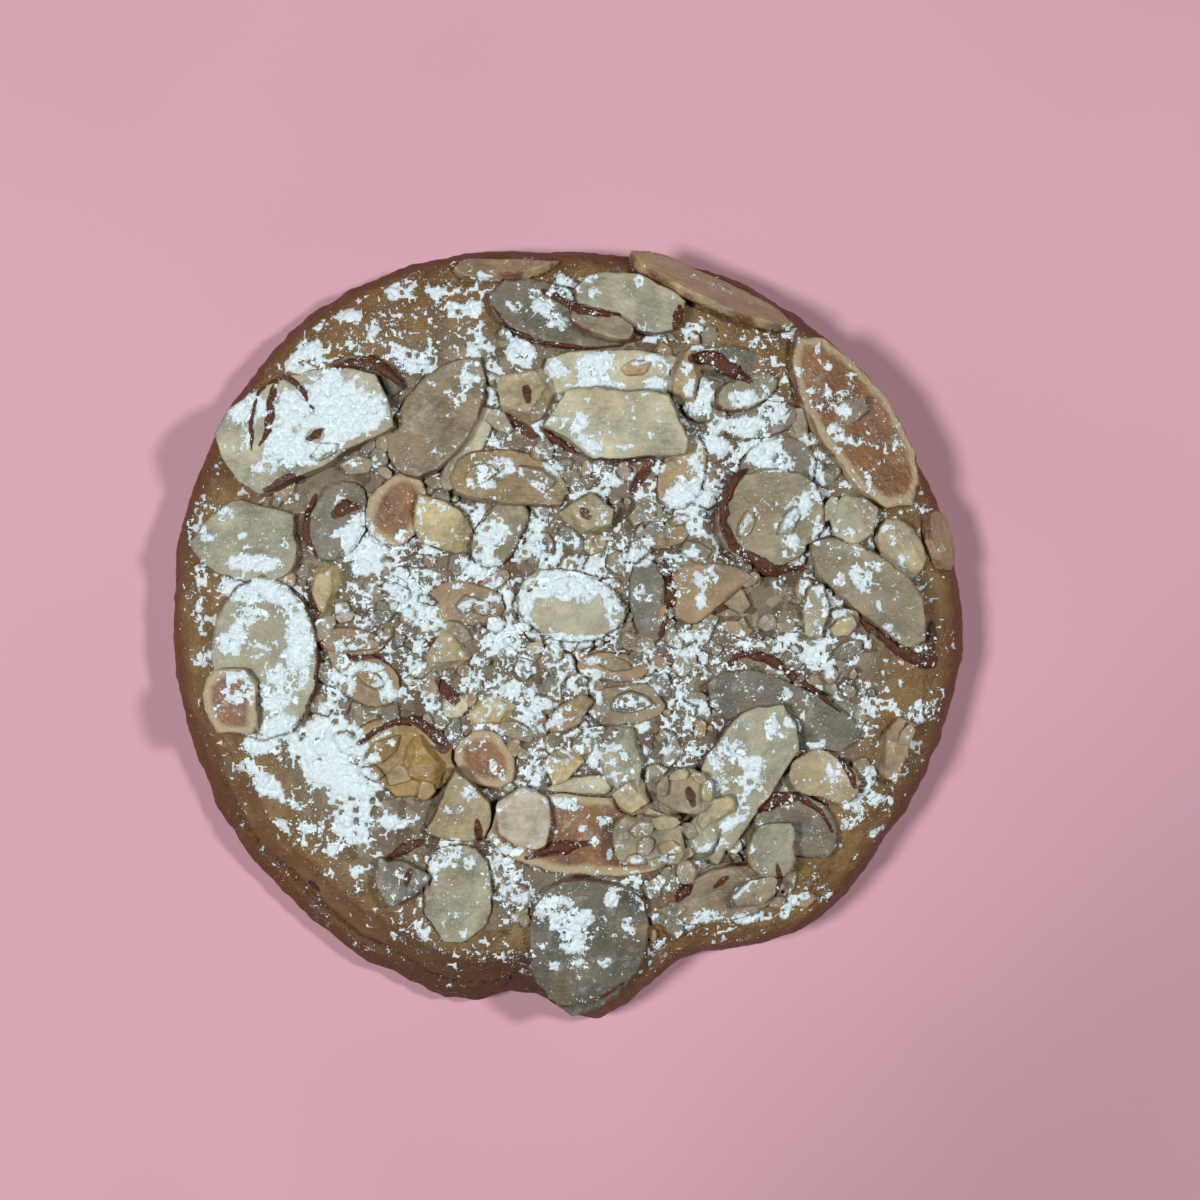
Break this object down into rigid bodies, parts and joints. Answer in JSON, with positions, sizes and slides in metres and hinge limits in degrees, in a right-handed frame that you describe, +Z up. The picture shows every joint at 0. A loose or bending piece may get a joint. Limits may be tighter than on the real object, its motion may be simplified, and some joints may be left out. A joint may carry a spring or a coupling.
{
  "type": "almond cookie",
  "caption": "Round, flat almond cookie with a browned rim, its crown covered with flaked and chopped almonds and dusted with powdered sugar.",
  "frame": {"origin": "under the middle of the cookie's outline, on the surface that it lies on", "axes": "+Z up out of the cookie's top, +Y towards the picture's upper edge, +X towards its right edge"},
  "size_m": [0.0904, 0.088, 0.0158],
  "materials": {
    "dough": "golden brown baked almond dough, browner at the rim",
    "almond_ivory": "blanched almond, ivory, satin",
    "almond_grey": "moist almond, greyish and slightly translucent",
    "almond_yellow": "almond, pale yellow, satin",
    "almond_tan": "lightly toasted almond, tan, satin",
    "almond_toasted": "toasted almond, orange-brown, satin",
    "almond_skin": "brown almond skin, wrinkled",
    "sugar": "powdered sugar, matt white, clumped"
  },
  "bodies": {
    "root": {"dough": "dough", "flake_rim_north": "almond_tan", "flake_north_grey": "almond_grey", "flake_north_sugared": "almond_ivory", "strip_northwest": "almond_ivory", "flake_northwest_skin": "almond_grey", "flake_west_upper": "almond_ivory", "flake_west_round": "almond_grey", "flake_east_behind": "almond_grey", "flake_centre_grey": "almond_grey", "flake_east_yellow": "almond_yellow", "flake_rim_east_small": "almond_tan", "flake_southeast_long": "almond_grey", "flake_southeast_dark": "almond_grey", "slab_southeast": "almond_grey", "flake_south_rim": "almond_grey", "flake_southwest_skin": "almond_yellow", "flake_southwest_large": "almond_ivory", "flake_west_inner": "almond_tan", "sliver_west": "almond_tan", "flake_south_inner": "almond_grey", "flake_centre_lower": "almond_tan", "flake_northeast_tan": "almond_tan", "flake_northeast_small": "almond_grey", "flake_northeast_grey": "almond_grey", "flake_northeast_sugared": "almond_ivory", "flake_centre_west": "almond_ivory", "flake_centre_southwest": "almond_tan", "flake_centre_tan": "almond_tan", "flake_southwest_tan": "almond_toasted", "sliver_south": "almond_ivory", "flake_rim_east": "almond_toasted", "flake_rim_northeast": "almond_tan", "flake_north_ivory": "almond_ivory", "chunk_north": "almond_ivory", "slab_north": "almond_ivory", "flake_northwest_taupe": "almond_grey", "slab_northwest": "almond_ivory", "flake_west_large": "almond_ivory", "flake_west_toasted": "almond_toasted", "flake_west_tan": "almond_toasted", "slab_centre": "almond_ivory", "flake_east_round": "almond_tan", "wedge_east": "almond_tan", "flake_east_large": "almond_ivory", "flake_southeast_broad": "almond_yellow", "chunk_southeast": "almond_yellow", "flake_southeast_upper": "almond_ivory", "flake_south_toasted": "almond_toasted", "chunk_south": "almond_yellow", "wedge_southwest": "almond_ivory"}
  },
  "joints": []
}
